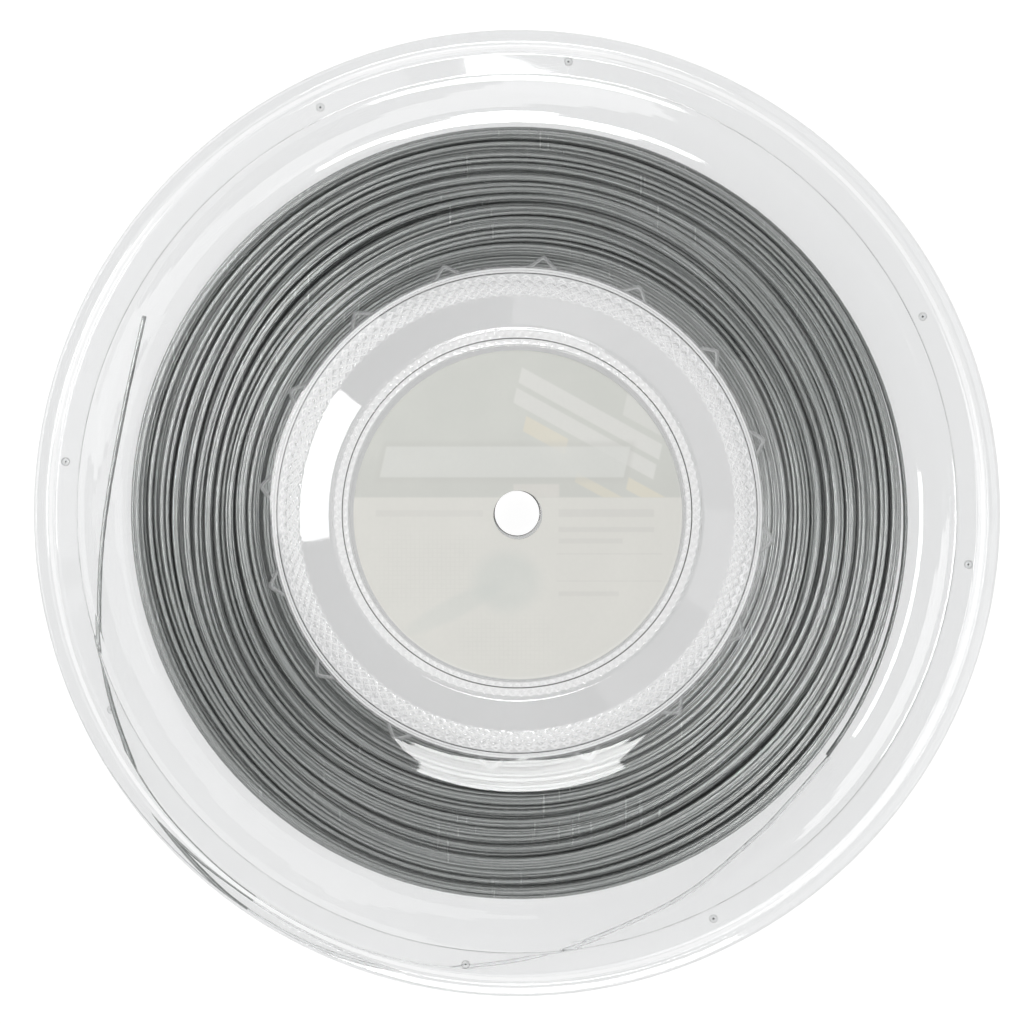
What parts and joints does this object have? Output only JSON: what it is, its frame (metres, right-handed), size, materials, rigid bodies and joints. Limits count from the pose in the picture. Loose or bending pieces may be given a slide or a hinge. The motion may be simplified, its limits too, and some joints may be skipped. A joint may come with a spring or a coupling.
{
  "type": "string reel",
  "caption": "Clear flanged moulded reel with a round label on each hub face, wound with grey monofilament racket string whose loose end lies between the flanges.",
  "frame": {"origin": "centre of the reel's lower face, on its axis, where the rear half's lip rests", "axes": "+Z is the reel's axis, from the rear half to the front half. +Y is the top of the front label, and the loose end leaves the winding at the lower right and ends at the upper left"},
  "size_m": [0.27, 0.27, 0.026],
  "materials": {
    "clear_moulding": "clear polished polystyrene with diamond knurled bands on the hub",
    "label_paper": "faded satin print in grey-green over warm off-white",
    "string": "satin drawn monofilament, mid grey, slightly cool"
  },
  "bodies": {
    "root": {"front_half": "clear_moulding", "rear_half": "clear_moulding", "front_label": "label_paper", "rear_label": "label_paper", "string_pack": "string", "string_tail": "string"}
  },
  "joints": []
}
